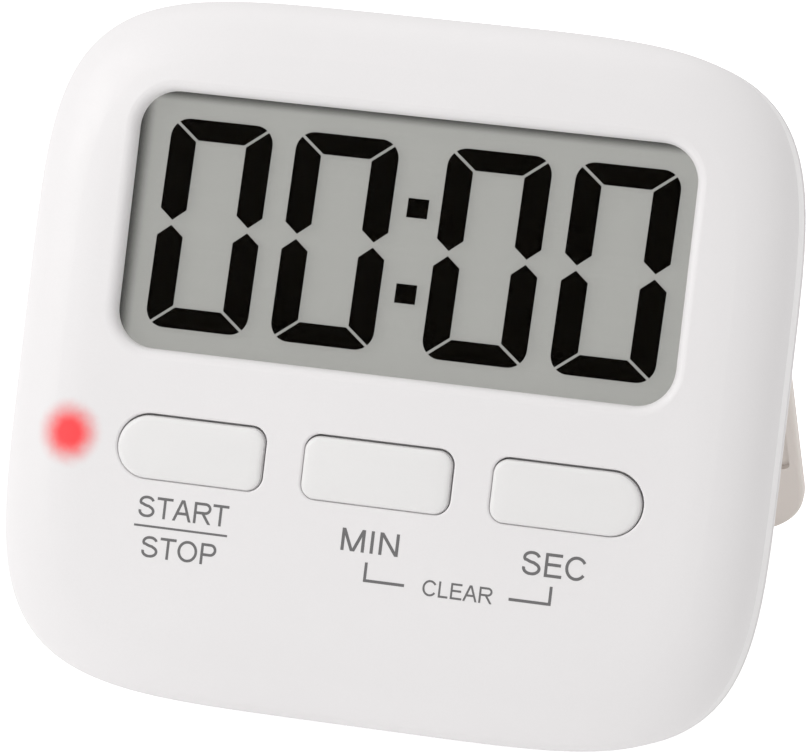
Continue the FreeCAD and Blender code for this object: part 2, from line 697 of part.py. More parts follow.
def crystal_can():
    """The clock crystal, lying on the board."""
    can = rod_x(PCB_BACK + CRYSTAL_R, CRYSTAL_Z, CRYSTAL_R, CRYSTAL_X, CRYSTAL_X + CRYSTAL_LEN)
    return can.makeFillet(0.3 * CRYSTAL_R, [e for e in can.Edges if e.Closed])


def smd_parts():
    """Chip resistors and capacitors on the board's rear face."""
    solids = []
    long_x, thick, short_z = SMD_SIZE
    for row in range(SMD_ROWS):
        for column in range(SMD_COLUMNS):
            x = SMD_X + column * SMD_PITCH_X
            z = SMD_Z + row * SMD_PITCH_Z
            solids.append(box(x, x + long_x, PCB_BACK, PCB_BACK + thick, z, z + short_z))
    return Part.makeCompound(solids)


def lamp():
    """The red lamp behind the thinned spot of the face."""
    body = rod_y(LAMP_X, LAMP_Z, LAMP_R, LAMP_FRONT_Y, PCB_Y)
    collar = rod_y(LAMP_X, LAMP_Z, LAMP_R + LAMP_COLLAR, PCB_Y - LAMP_COLLAR_THICK, PCB_Y)
    dome = Part.makeSphere(LAMP_R, V(LAMP_X, LAMP_FRONT_Y, LAMP_Z))
    return join(body, [collar, dome])


def key(index):
    """One press key: proud cap, retaining flange and the stem that meets its switch."""
    cap = slab(round_rect(*key_outline(index, 0.0, -KEY_PROUD)), KEY_BACK_Y + KEY_PROUD)
    cap = cap.makeFillet(KEY_EDGE, edges_at_y(cap, -KEY_PROUD))
    flange = slab(round_rect(*key_outline(index, KEY_FLANGE, KEY_FLANGE_Y)),
                  KEY_BACK_Y - KEY_FLANGE_Y)
    stem = rod_y(key_x(index), KEY_Z, KEY_STEM_R, KEY_BACK_Y - 0.2, PLUNGER_Y)
    return join(cap, [flange, stem])


def plunger(index):
    """The moving button of one key switch."""
    return rod_y(key_x(index), KEY_Z, PLUNGER_R, PLUNGER_Y, PLUNGER_END_Y)


def key_switches():
    """The three key switches' housings."""
    half = SWITCH_SIDE / 2
    solids = []
    for index in range(3):
        x = key_x(index)
        housing = box(x - half, x + half, SWITCH_Y, PCB_Y, KEY_Z - half, KEY_Z + half)
        solids.append(housing.cut(rod_y(x, KEY_Z, PLUNGER_R + FIT, SWITCH_Y - 1.0,
                                        SWITCH_WELL_Y)))
    return Part.makeCompound(solids)


def slide_case(x):
    """A slide switch housing on the board, with the slot its knob runs in."""
    case = box(x - SWITCH_CASE_HALF_X, x + SWITCH_CASE_HALF_X, PCB_BACK, SWITCH_CASE_BACK,
               SWITCH_SLOT_Z - SWITCH_CASE_HALF_Z, SWITCH_SLOT_Z + SWITCH_CASE_HALF_Z)
    track = box(x - SWITCH_TRACK_HALF_X, x + SWITCH_TRACK_HALF_X, SWITCH_TRACK_Y,
                SWITCH_CASE_BACK + 1.0, SWITCH_SLOT_Z - SWITCH_TRACK_HALF_Z,
                SWITCH_SLOT_Z + SWITCH_TRACK_HALF_Z)
    return case.cut(track)


def slide_knob(x):
    """A slide switch knob that reaches out through the rear shell."""
    half_w = KNOB_W / 2
    half_h = KNOB_H / 2
    stem = box(x - half_w, x + half_w, KNOB_FOOT_Y, KNOB_TOP_Y, SWITCH_SLOT_Z - half_h,
               SWITCH_SLOT_Z + half_h)
    grooves = []
    for i in (-1, 0, 1):
        middle = x + i * KNOB_GROOVE_PITCH
        grooves.append(box(middle - KNOB_GROOVE_HALF, middle + KNOB_GROOVE_HALF,
                           KNOB_TOP_Y - KNOB_GROOVE_DEPTH, KNOB_TOP_Y + 1,
                           SWITCH_SLOT_Z - KNOB_H, SWITCH_SLOT_Z + KNOB_H))
    return stem.cut(grooves)


def buzzer_case():
    """The sounder's resonator cup, fixed inside the rear shell."""
    cup = rod_y(0, BUZZER_Z, BUZZER_R, BUZZER_Y, FLOOR_Y - WALL)
    hollow = rod_y(0, BUZZER_Z, BUZZER_R - BUZZER_WALL, BUZZER_Y + BUZZER_SHELF, FLOOR_Y)
    seat = rod_y(0, BUZZER_Z, BUZZER_R - 2 * BUZZER_WALL, BUZZER_Y - 1.0, FLOOR_Y)
    return cup.cut([hollow, seat])


def piezo_disc():
    """The sounder's brass disc."""
    front = BUZZER_Y + BUZZER_SHELF
    return rod_y(0, BUZZER_Z, BUZZER_R - BUZZER_WALL - FIT, front, front + PIEZO_THICK)


# ---------------------------------------------------------------- battery parts
def cell(z, nub_side):
    """One AAA cell; its positive nub points to nub_side (-1 left, 1 right)."""
    nub_end = nub_side * (TRAY_HALF_X - CONTACT_THICK - 0.2)
    shoulder = nub_end - nub_side * CELL_NUB_LEN
    tail = shoulder - nub_side * CELL_LEN
    x0, x1 = sorted((shoulder, tail))
    can = rod_x(CELL_Y, z, CELL_R, x0, x1)
    can = can.makeFillet(0.5, [e for e in can.Edges if e.Closed])
    n0, n1 = sorted((shoulder - nub_side * 0.2, nub_end))
    return join(can, [rod_x(CELL_Y, z, CELL_NUB_R, n0, n1)])


def contact_plates():
    """The flat contacts that the positive nubs press on."""
    solids = []
    for z, side in ((CELL_UPPER_Z, 1), (CELL_LOWER_Z, -1)):
        x0, x1 = sorted((side * (TRAY_HALF_X - 0.1), side * (TRAY_HALF_X - 0.1 - CONTACT_THICK)))
        solids.append(box(x0, x1, CONTACT_Y0, CONTACT_Y1, z - CONTACT_HALF_Z, z + CONTACT_HALF_Z))
    return Part.makeCompound(solids)


def contact_springs():
    """The coil springs that push on the cells' flat ends, as faceted wire."""
    solids = []
    inner_length = 2 * (TRAY_HALF_X - CONTACT_THICK) - CELL_LEN - CELL_NUB_LEN
    length = inner_length - 2 * SPRING_WIRE_R - 0.6
    steps = SPRING_TURNS * SPRING_STEPS
    for z, side in ((CELL_UPPER_Z, -1), (CELL_LOWER_Z, 1)):
        base_x = side * (TRAY_HALF_X - 0.2 - SPRING_WIRE_R)
        rings = []
        for i in range(steps + 1):
            turn = 2.0 * math.pi * SPRING_TURNS * i / steps
            outward = V(0, math.cos(turn), math.sin(turn))
            middle = V(base_x - side * length * i / steps, CELL_Y, z) + outward * SPRING_R
            ring = []
            for k in range(SPRING_SIDES):
                angle = 2.0 * math.pi * k / SPRING_SIDES
                ring.append(middle + outward * (SPRING_WIRE_R * math.cos(angle))
                            + V(SPRING_WIRE_R * math.sin(angle), 0, 0))
            rings.append(Part.makePolygon(ring + [ring[0]]))
        solids.append(Part.makeLoft(rings, True, True))
    return Part.makeCompound(solids)


def battery_lead(side):
    """The lead from one end of the battery compartment to the board."""
    x = side * (TRAY_HALF_X + TRAY_WALL + 0.9)
    points = [(x, 12.0, -16.0), (x + side * 0.4, 9.5, -15.0), (x + side * 0.3, 7.5, -12.5),
              (x, 5.6, -11.5)]
    return wire_lead(points, BATTERY_LEAD_R)


def buzzer_leads():
    """The sounder's two leads."""
    solids = []
    for side in (-1, 1):
        points = [(side * 2.0, BUZZER_Y + 1.0, BUZZER_Z), (side * 3.0, 11.5, BUZZER_Z + 1.0),
                  (side * 4.0, 8.5, BUZZER_Z + 3.0), (side * 4.2, 5.6, BUZZER_Z + 4.0)]
        solids.append(wire_lead(points, BUZZER_LEAD_R))
    return Part.makeCompound(solids)


def battery_door():
    """The door panel with its rounded lower edge, pivot nubs and grip ribs."""
    y0 = FLOOR_Y - DOOR_THICK
    pivot_y = FLOOR_Y - DOOR_THICK / 2
    panel = box(-DOOR_HALF_X, DOOR_HALF_X, y0, FLOOR_Y, DOOR_PIVOT_Z, DOOR_TOP)
    barrel = rod_x(pivot_y, DOOR_PIVOT_Z, DOOR_THICK / 2, -DOOR_HALF_X, DOOR_HALF_X)
    nubs = rod_x(pivot_y, DOOR_PIVOT_Z, DOOR_NUB_R, -DOOR_HALF_X - DOOR_NUB_LEN,
                 DOOR_HALF_X + DOOR_NUB_LEN)
    grooves = []
    for i in range(DOOR_GROOVES):
        z = DOOR_TOP - (i + 2) * DOOR_GROOVE_PITCH
        grooves.append(rounded_box(-DOOR_GROOVE_HALF_X, DOOR_GROOVE_HALF_X,
                                   FLOOR_Y - DOOR_GROOVE_DEPTH, FLOOR_Y + 1.0,
                                   z - 0.3, z + 0.3, 0.29))
    return join(panel, [barrel, nubs]).cut(grooves)


# ---------------------------------------------------------------- fasteners and magnets
def screw(x, z, seat_y, shank_r, head_r, head_h, length):
    """A pan-head screw with a cross recess, driven from behind."""
    shank = rod_y(x, z, shank_r, seat_y - length, seat_y)
    tip = Part.makeCone(SCREW_TIP_R, shank_r, SCREW_TIP_LEN,
                        V(x, seat_y - length - SCREW_TIP_LEN, z), V(0, 1, 0))
    head = rod_y(x, z, head_r, seat_y, seat_y + head_h)
    head = head.makeFillet(head_h * 0.5, edges_at_y(head, seat_y + head_h))
    arm = head_r * 0.6
    slot = head_r * 0.13
    top = seat_y + head_h
    recess = [box(x - arm, x + arm, top - head_h * 0.5, top + 1, z - slot, z + slot),
              box(x - slot, x + slot, top - head_h * 0.5, top + 1, z - arm, z + arm)]
    return join(head, [shank, tip]).cut(recess)


def case_screws():
    """The two screws that hold the rear shell to the front shell."""
    return Part.makeCompound([
        screw(side * CASE_SCREW_X, CASE_SCREW_Z, SCREW_SEAT_Y, SCREW_SHANK_R, SCREW_HEAD_R,
              SCREW_HEAD_H, SCREW_LEN) for side in (-1, 1)])


def pcb_screws():
    """The four screws that hold the board in the front shell."""
    return Part.makeCompound([
        screw(x, z, PCB_BACK, PCB_SCREW_R, PCB_SCREW_HEAD_R, PCB_SCREW_HEAD_H, PCB_SCREW_LEN)
        for x, z in PCB_SCREWS])


def magnets():
    """The two disc magnets in the upper pad."""
    return Part.makeCompound([
        rod_y(side * MAGNET_X, MAGNET_Z, MAGNET_R, BACK_Y - MAGNET_THICK, BACK_Y)
        for side in (-1, 1)])


# ---------------------------------------------------------------- stand
def stand_folded():
    """The stand lying flat against the back of the case."""
    rear_y = STAND_Y + STAND_THICK
    plate = slab(round_rect(-STAND_HALF_X, STAND_HALF_X, STAND_BOTTOM, CASE_HALF_Z, STAND_Y,
                            STAND_CORNER, STAND_CORNER), STAND_THICK)
    plate = plate.makeFillet(STAND_FRONT_R, edges_at_y(plate, STAND_Y))
    plate = plate.makeFillet(STAND_REAR_R, edges_at_y(plate, rear_y))
    opening = rounded_box(-STAND_OPENING_HALF_X, STAND_OPENING_HALF_X, STAND_Y - 1, rear_y + 1,
                          STAND_OPENING_BOTTOM, STAND_OPENING_TOP, STAND_OPENING_CORNER)
    cuts = [opening, box(-50, 50, 0, 50, STAND_PIVOT_Z, 60)]
    for side in (-1, 1):
        x0, x1 = sorted((side * STAND_BARREL_HALF_X, side * 50))
        cuts.append(box(x0, x1, 0, 50, EAR_BOTTOM - STAND_EAR_GAP, 60))
        p0, p1 = sorted((side * (STAND_HALF_X - STAND_POCKET_RIM),
                         side * (STAND_OPENING_HALF_X + STAND_POCKET_RIM)))
        for low, high in STAND_POCKETS:
            cuts.append(rounded_box(p0, p1, STAND_Y - 1, STAND_Y + STAND_POCKET_DEPTH,
                                    low, high, 1.0))
    barrel = rod_x(STAND_PIVOT_Y, STAND_PIVOT_Z, STAND_BARREL_R, -STAND_BARREL_HALF_X,
                   STAND_BARREL_HALF_X)
    reach = STAND_BARREL_HALF_X + TRUNNION_LEN
    trunnions = rod_x(STAND_PIVOT_Y, STAND_PIVOT_Z, TRUNNION_R, -reach, reach)
    return join(plate.cut(cuts), [barrel, trunnions])


def rest_height():
    """The height of the case's lowest line once it leans back, before it is set on Z = 0."""
    draft_inset = (REAR_DRAFT_END_Y - STRAIGHT_END_Y) * math.tan(REAR_DRAFT)
    centre_z = -(CASE_HALF_Z - draft_inset - REAR_EDGE_R)
    return centre_z * math.cos(LEAN) - REAR_DRAFT_END_Y * math.sin(LEAN) - REAR_EDGE_R


def stand_open_angle():
    """How far the stand swings out, so that its rounded foot meets the same level."""
    foot_r = STAND_FRONT_R
    offset = STAND_Y + foot_r - STAND_PIVOT_Y
    leg = STAND_PIVOT_Z - STAND_BOTTOM - foot_r
    pivot_height = STAND_PIVOT_Z * math.cos(LEAN) - STAND_PIVOT_Y * math.sin(LEAN)
    drop = pivot_height - foot_r - rest_height()
    return LEAN + math.acos(drop / math.hypot(leg, offset)) - math.atan2(offset, leg)


def stand():
    """The stand, swung open."""
    solid = stand_folded()
    solid.rotate(V(0, STAND_PIVOT_Y, STAND_PIVOT_Z), V(1, 0, 0), math.degrees(stand_open_angle()))
    return solid


# ---------------------------------------------------------------- assembly
def build_nodes():
    """Every sub-part in the case frame, by node name."""
    return {
        "front_shell": front_shell(),
        "rear_shell": rear_shell(),
        "lcd_front_polariser": lcd_layer(LCD_Y, POLARISER_THICK, FILM_HALF_X, FILM_BOTTOM, FILM_TOP),
        "lcd_front_glass": lcd_layer(FRONT_GLASS_Y, GLASS_THICK, GLASS_HALF_X,
                                     FRONT_GLASS_BOTTOM, GLASS_TOP),
        "lcd_segments": lcd_segments(),
        "lcd_rear_glass": lcd_layer(REAR_GLASS_Y, GLASS_THICK, GLASS_HALF_X, REAR_GLASS_BOTTOM,
                                    GLASS_TOP),
        "lcd_reflector": lcd_layer(REFLECTOR_Y, REFLECTOR_THICK, FILM_HALF_X, FILM_BOTTOM, FILM_TOP),
        "lcd_frame": lcd_frame(),
        "zebra_strip": box(-ZEBRA_HALF_X, ZEBRA_HALF_X, SEGMENT_Y, PCB_Y, ZEBRA_BOTTOM, ZEBRA_TOP),
        "main_pcb": main_pcb(),
        "chip_glob": chip_glob(),
        "crystal_can": crystal_can(),
        "smd_parts": smd_parts(),
        "indicator_lamp": lamp(),
        "key_switches": key_switches(),
        "start_stop_key": key(0),
        "min_key": key(1),
        "sec_key": key(2),
        "start_stop_plunger": plunger(0),
        "min_plunger": plunger(1),
        "sec_plunger": plunger(2),
        "power_switch_case": slide_case(POWER_X),
        "power_switch_knob": slide_knob(POWER_X + POWER_TRAVEL / 2),
        "mode_switch_case": slide_case(MODE_X),
        "mode_switch_knob": slide_knob(MODE_X),
        "buzzer_case": buzzer_case(),
        "piezo_disc": piezo_disc(),
        "buzzer_leads": buzzer_leads(),
        "battery_cell_upper": cell(CELL_UPPER_Z, 1),
        "battery_cell_lower": cell(CELL_LOWER_Z, -1),
        "contact_plates": contact_plates(),
        "contact_springs": contact_springs(),
        "battery_lead_red": battery_lead(1),
        "battery_lead_black": battery_lead(-1),
        "battery_door": battery_door(),
        "magnets": magnets(),
        "case_screws": case_screws(),
        "pcb_screws": pcb_screws(),
        "stand": stand(),
    }


def main():
    """Lean the timer back on its stand, set it on Z = 0 and write one file per sub-part."""
    os.makedirs("parts", exist_ok=True)
    nodes = build_nodes()
    for shape in nodes.values():
        shape.rotate(V(0, 0, 0), V(1, 0, 0), -math.degrees(LEAN))
    outer = Part.makeCompound([nodes["front_shell"], nodes["rear_shell"], nodes["stand"]])
    bounds = outer.optimalBoundingBox(False, False)
    shift = V(0.0, -0.5 * (bounds.YMin + bounds.YMax), -rest_height())
    for name, shape in nodes.items():
        shape.translate(shift)
        shape.exportStep(os.path.join("parts", name + ".step"))


main()
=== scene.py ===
"""Looks for a bench timer that leans on its open stand.

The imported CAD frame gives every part's place.  Shapes here are written in the case frame, in
millimetres: X to the right, Y from the face backwards, Z up along the face, with the middle of the
case outline on the Y axis.  case_matrix() turns that frame into the row frame, in metres.
"""

import json
import math

import bpy
import numpy as np
from mathutils import Matrix, Vector
from mathutils.geometry import delaunay_2d_cdt


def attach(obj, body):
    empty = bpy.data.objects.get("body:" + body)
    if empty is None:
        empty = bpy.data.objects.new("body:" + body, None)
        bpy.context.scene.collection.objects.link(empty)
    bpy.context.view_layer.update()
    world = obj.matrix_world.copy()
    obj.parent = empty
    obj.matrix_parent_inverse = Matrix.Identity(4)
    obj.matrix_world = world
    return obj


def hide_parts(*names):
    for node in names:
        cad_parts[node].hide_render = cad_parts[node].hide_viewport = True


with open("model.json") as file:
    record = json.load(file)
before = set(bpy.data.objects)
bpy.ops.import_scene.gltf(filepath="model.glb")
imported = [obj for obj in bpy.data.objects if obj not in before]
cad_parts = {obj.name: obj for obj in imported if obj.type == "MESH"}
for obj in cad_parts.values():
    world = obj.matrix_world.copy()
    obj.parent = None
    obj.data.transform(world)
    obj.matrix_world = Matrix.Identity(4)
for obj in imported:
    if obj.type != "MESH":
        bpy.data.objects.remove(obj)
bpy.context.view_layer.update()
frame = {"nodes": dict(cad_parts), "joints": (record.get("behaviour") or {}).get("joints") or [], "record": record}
NODES = frame["nodes"]
JOINTS = {joint["name"]: joint for joint in frame["joints"]}

# ---- case ----
MM = 0.001
CASE_HALF_X = 40.3
CASE_HALF_Z = 36.6
OUTLINE_POWER = 4.9
OUTLINE_STEPS = 288
FACE_SPAN = 8.5
FACE_RISE = 5.92
FACE_POWER = 2.3
FACE_CUT = 0.93
INNER_SPAN = 6.5
INNER_RISE = 4.2
WALL = 1.6
INNER_FACE_Y = 1.45
SEAM_Y = 7.0
SEAM_GROOVE = 0.55
SEAM_EDGE_R = 0.12
PIVOT_Y = 19.5
PIVOT_Z = 14.5

# ---- how finely the shell's mesh is drawn ----
FACE_RING_COUNT = 26
INNER_RING_COUNT = 10
FACE_RINGS_END = 5.5
RING_CROWDING = 1.4
FACE_SPACING = 1.15
INNER_SPACING = 3.0

# ---- window and keys ----
WINDOW = (-29.6, 29.6, -0.45, 26.3, 4.0, 4.0)
WINDOW_LIP = 1.1
KEY_W = 15.55
KEY_H = 6.45
KEY_PITCH = 19.95
KEY_ROW_X = 0.2
KEY_Z = -10.5
KEY_CORNER = 1.5
KEY_GAP = 0.18
KEY_HOLE_LIP = 0.25
KEY_SAG = 0.1
KEY_SKIRT = 0.07
KEY_SKIRT_Y = 0.42
KEY_TOP_Y = -0.15
KEY_EDGE_W = 0.6
KEY_EDGE_H = 0.36
KEY_EDGE_STEPS = 7
KEY_NAMES = ("start_stop", "min", "sec")
KEY_FLANGE = 0.9
KEY_FLANGE_Y = 1.65
KEY_BACK_Y = 2.3
SMALLEST_CORNER = 0.15
LAMP_X = -33.0
LAMP_Z = -10.1
LAMP_GLOW_R = 3.9
LAMP_CORE_R = 0.9

# ---- camera, in the case frame ----
CAMERA_EYE = (129.38, -510.02, 3.13)
CAMERA_RIGHT = (0.96324, 0.24186, 0.11693)
CAMERA_DOWN = (0.11504, 0.02199, -0.99312)
CAMERA_LENS = 230.36


# ---------------------------------------------------------------- frames
def case_matrix():
    """The case frame in the row frame: millimetres in, metres out."""
    back = Vector(JOINTS["min_press"]["axis"]).normalized()
    right = Vector((1.0, 0.0, 0.0))
    up = right.cross(back)
    turn = Matrix((right, back, up)).transposed()
    pivot = Vector(JOINTS["stand_fold"]["pos_m"])
    origin = pivot - turn @ Vector((0.0, PIVOT_Y * MM, PIVOT_Z * MM))
    return Matrix.Translation(origin) @ turn.to_4x4() @ Matrix.Scale(MM, 4)


CASE = case_matrix()


def add_mesh(name, points, faces, body, material, smooth_angle=40.0):
    """A mesh piece from case-frame points, shaded smooth up to an angle, riding on a body."""
    mesh = bpy.data.meshes.new(name)
    turned = [CASE @ Vector(p) for p in points]
    mesh.from_pydata(turned, [], faces)
    mesh.validate()
    mesh.update()
    mesh.polygons.foreach_set("use_smooth", [True] * len(mesh.polygons))
    mesh.set_sharp_from_angle(angle=math.radians(smooth_angle))
    piece = bpy.data.objects.new(name, mesh)
    bpy.context.scene.collection.objects.link(piece)
    piece.data.materials.append(material)
    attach(piece, body)
    return piece


# ---------------------------------------------------------------- outlines
def superellipse(inset):
    """Case outline points (x, z), moved inwards by inset."""
    turn = np.linspace(0.0, 2.0 * math.pi, OUTLINE_STEPS, endpoint=False)
    c, s = np.cos(turn), np.sin(turn)
    reach = (np.abs(c / (CASE_HALF_X - inset)) ** OUTLINE_POWER
             + np.abs(s / (CASE_HALF_Z - inset)) ** OUTLINE_POWER)
    radius = reach ** (-1.0 / OUTLINE_POWER)
    return np.stack([radius * c, radius * s], 1)


def inset_at(points):
    """How far inside the case outline each (x, z) point lies, by the outline that passes through it."""
    low = np.zeros(len(points))
    high = np.full(len(points), CASE_HALF_Z - 0.01)
    x, z = np.abs(points[:, 0]), np.abs(points[:, 1])
    for _ in range(40):
        middle = 0.5 * (low + high)
        reach = ((x / (CASE_HALF_X - middle)) ** OUTLINE_POWER
                 + (z / (CASE_HALF_Z - middle)) ** OUTLINE_POWER)
        inside = reach < 1.0
        low = np.where(inside, middle, low)
        high = np.where(inside, high, middle)
    return low


def soft_edge(inset, span, rise):
    """Depth of the face at an inset: zero on the flat, deepest at the crease by the side wall."""
    u = FACE_CUT * np.clip((span - inset) / span, 0.0, 1.0)
    return rise * (1.0 - (1.0 - u ** FACE_POWER) ** (1.0 / FACE_POWER))


def rounded_outline(shape, grow=0.0, arc_steps=10, side_steps=14):
    """Counter-clockwise (x, z) points of a rounded rectangle (x0, x1, z0, z1, left_r, right_r)."""
    x0, x1, z0, z1, left_r, right_r = shape
    x0, x1, z0, z1 = x0 - grow, x1 + grow, z0 - grow, z1 + grow
    left_r = max(left_r + grow, SMALLEST_CORNER)
    right_r = max(right_r + grow, SMALLEST_CORNER)
    corners = (
        (x1 - right_r, z0 + right_r, right_r, -90.0),
        (x1 - right_r, z1 - right_r, right_r, 0.0),
        (x0 + left_r, z1 - left_r, left_r, 90.0),
        (x0 + left_r, z0 + left_r, left_r, 180.0),
    )
    points = []
    for index, (cx, cz, radius, start) in enumerate(corners):
        for step in range(arc_steps + 1):
            turn = math.radians(start + 90.0 * step / arc_steps)
            points.append((cx + radius * math.cos(turn), cz + radius * math.sin(turn)))
        nx, nz, n_radius, n_start = corners[(index + 1) % 4]
        first = math.radians(n_start)
        target = (nx + n_radius * math.cos(first), nz + n_radius * math.sin(first))
        last = points[-1]
        for step in range(1, side_steps):
            share = step / side_steps
            points.append((last[0] + (target[0] - last[0]) * share,
                           last[1] + (target[1] - last[1]) * share))
    return np.array(points)


def key_shape(index):
    """The outline of one key; the outer end of each outer key is a half circle."""
    x_mid = KEY_ROW_X + (index - 1) * KEY_PITCH
    half = KEY_H / 2
    return (x_mid - KEY_W / 2, x_mid + KEY_W / 2, KEY_Z - half, KEY_Z + half,
            half if index == 0 else KEY_CORNER, half if index == 2 else KEY_CORNER)


def inside_outline(points, outline):
    """Which (x, z) points lie inside a closed outline."""
    x, z = points[:, 0], points[:, 1]
    inside = np.zeros(len(points), bool)
    ax, az = outline[:, 0], outline[:, 1]
    bx, bz = np.roll(ax, -1), np.roll(az, -1)
    for x0, z0, x1, z1 in zip(ax, az, bx, bz):
        if z0 == z1:
            continue
        crosses = ((z0 > z) != (z1 > z)) & (x < (x1 - x0) * (z - z0) / (z1 - z0) + x0)
        inside ^= crosses
    return inside


# ---------------------------------------------------------------- mesh building
class Builder:
    """Collects points and faces of one mesh."""

    def __init__(self):
        self.points = []
        self.faces = []

    def ring(self, outline, depth):
        """Adds one closed ring at a depth (a number or one per point) and returns its indices."""
        start = len(self.points)
        depths = np.broadcast_to(depth, len(outline))
        for (x, z), y in zip(outline, depths):
            self.points.append((x, y, z))
        return list(range(start, start + len(outline)))

    def bridge(self, first, second, flip=False):
        """Quads between two rings of equal length."""
        count = len(first)
        for i in range(count):
            j = (i + 1) % count
            quad = [first[i], first[j], second[j], second[i]]
            self.faces.append(quad[::-1] if flip else quad)

    def cap(self, ring, flip=False):
        """One flat face over a ring."""
        self.faces.append(ring[::-1] if flip else list(ring))


def grid_between(outer, holes, spacing, clear):
    """Evenly spread points inside outer and outside holes, away from both edges."""
    low, high = outer.min(0), outer.max(0)
    rows = np.arange(low[1], high[1], spacing * math.sqrt(3.0) / 2.0)
    points = []
    for index, z in enumerate(rows):
        offset = 0.5 * spacing * (index % 2)
        for x in np.arange(low[0] + offset, high[0], spacing):
            points.append((x, z))
    points = np.array(points)
    keep = inside_outline(points, outer)
    for hole in holes:
        keep &= ~inside_outline(points, hole)
    points = points[keep]
    edge = np.concatenate([outer] + holes)
    nearest = np.full(len(points), 1e9)
    for x, z in edge:
        nearest = np.minimum(nearest, np.hypot(points[:, 0] - x, points[:, 1] - z))
    return points[nearest > clear]


def fill_between(builder, outer_ring, hole_rings, depth_of, spacing, flip=False):
    """Triangles between an outer ring and hole rings, following depth_of(points)."""
    def flat(ring):
        return np.array([(builder.points[i][0], builder.points[i][2]) for i in ring])

    outlines = [flat(outer_ring)] + [flat(ring) for ring in hole_rings]
    extra = grid_between(outlines[0], outlines[1:], spacing, spacing * 0.55)
    known = list(outer_ring) + [i for ring in hole_rings for i in ring]
    flat_points = [tuple(p) for outline in outlines for p in outline] + [tuple(p) for p in extra]
    edges = []
    start = 0
    for outline in outlines:
        count = len(outline)
        edges += [(start + i, start + (i + 1) % count) for i in range(count)]
        start += count
    vectors = [Vector(p) for p in flat_points]
    out_points, _, triangles, origins = delaunay_2d_cdt(vectors, edges, [], 0, 1e-7)[:4]
    depths = depth_of(np.array(extra))
    first_extra = len(builder.points)
    for (x, z), y in zip(extra, depths):
        builder.points.append((x, y, z))
    index_of = []
    for origin in origins:
        source = origin[0]
        index_of.append(known[source] if source < len(known)
                        else first_extra + source - len(known))
    corners = np.array([[out_points[i] for i in triangle] for triangle in triangles])
    middles = corners.mean(1)
    keep = inside_outline(middles, outlines[0])
    for outline in outlines[1:]:
        keep &= ~inside_outline(middles, outline)
    for triangle, wanted in zip(triangles, keep):
        if wanted:
            face = [index_of[i] for i in triangle]
            builder.faces.append(face[::-1] if flip else face)


def stack_mesh(name, outline_of, rings, body, material):
    """A closed piece from a stack of (grow, depth) rings, capped at both ends."""
    builder = Builder()
    made = [builder.ring(outline_of(grow), depth) for grow, depth in rings]
    builder.cap(made[0])
    for near, far in zip(made, made[1:]):
        builder.bridge(far, near)
    builder.cap(made[-1], flip=True)
    return add_mesh(name, builder.points, builder.faces, body, material)


# ---------------------------------------------------------------- materials
def add_node(tree, kind, settings=None, **inputs):
    """A shader node with its settings and inputs.

    An input is named with _ for a space, or by its place, as _0.  It may be a value or a socket.
    """
    made = tree.nodes.new(kind)
    for key, value in (settings or {}).items():
        setattr(made, key, value)
    for key, value in inputs.items():
        wanted = int(key[1:]) if key[1:].isdigit() else key.replace("_", " ")
        socket = made.inputs[wanted]
        if isinstance(value, bpy.types.NodeSocket):
            tree.links.new(value, socket)
        else:
            socket.default_value = value
    return made


def start_material(name):
    """An empty node material with object coordinates, in metres, ready to use."""
    material = bpy.data.materials.new(name)
    material.use_nodes = True
    tree = material.node_tree
    tree.nodes.clear()
    place = add_node(tree, "ShaderNodeTexCoord").outputs["Object"]
    return material, tree, place


def finish_material(tree, surface):
    """Connects the surface to the material's output."""
    out = add_node(tree, "ShaderNodeOutputMaterial")
    tree.links.new(surface, out.inputs["Surface"])


def noise(tree, place, scale, detail=2.0, rough=0.5):
    """A grey noise value; scale is in features per metre."""
    made = add_node(tree, "ShaderNodeTexNoise", Vector=place, Scale=scale, Detail=detail,
                    Roughness=rough)
    return made.outputs["Fac"]


def spread(tree, value, low, high):
    """Maps a value that runs from about 0.3 to 0.7 onto low to high."""
    made = add_node(tree, "ShaderNodeMapRange", Value=value, From_Min=0.3, From_Max=0.7,
                    To_Min=low, To_Max=high)
    return made.outputs["Result"]


def mix_colour(tree, share, first, second):
    """A blend of two colours."""
    made = add_node(tree, "ShaderNodeMix", {"data_type": "RGBA"}, _0=share, _6=first, _7=second)
    return made.outputs[2]


def bump(tree, height, distance_mm, strength=1.0, normal=None):
    """A bump whose full height is distance_mm."""
    made = add_node(tree, "ShaderNodeBump", Height=height, Distance=distance_mm * MM,
                    Strength=strength)
    if normal is not None:
        tree.links.new(normal, made.inputs["Normal"])
    return made.outputs["Normal"]


def rgb(red, green, blue):
    """A linear colour from 0-255 screen values."""
    def linear(value):
        share = value / 255.0
        return share / 12.92 if share <= 0.04045 else ((share + 0.055) / 1.055) ** 2.4
    return (linear(red), linear(green), linear(blue), 1.0)


def shade(colour, factor):
    """A colour made lighter or darker."""
    return (colour[0] * factor, colour[1] * factor, colour[2] * factor, 1.0)


def moulded_colour(tree, place, colour):
    """A plastic's colour with slow flow variation and a fine pigment fleck."""
    amount = 0.02
    slow = noise(tree, place, 55.0, 3.0)
    base = mix_colour(tree, slow, shade(colour, 1.0 - amount), shade(colour, 1.0 + amount))
    fleck = noise(tree, place, 4200.0, 1.0)
    fine = spread(tree, fleck, 0.0, 0.5)
    return mix_colour(tree, fine, base, shade(colour, 1.0 - 0.8 * amount))


def moulded_normal(tree, place, grain_mm=0.0035):
    """A spark-eroded grain over faint mould waviness."""
    grain = noise(tree, place, 2600.0, 2.0, 0.55)
    wave = noise(tree, place, 70.0, 1.0)
    waved = bump(tree, wave, 0.02, 0.5)
    return bump(tree, grain, grain_mm, 1.0, waved)


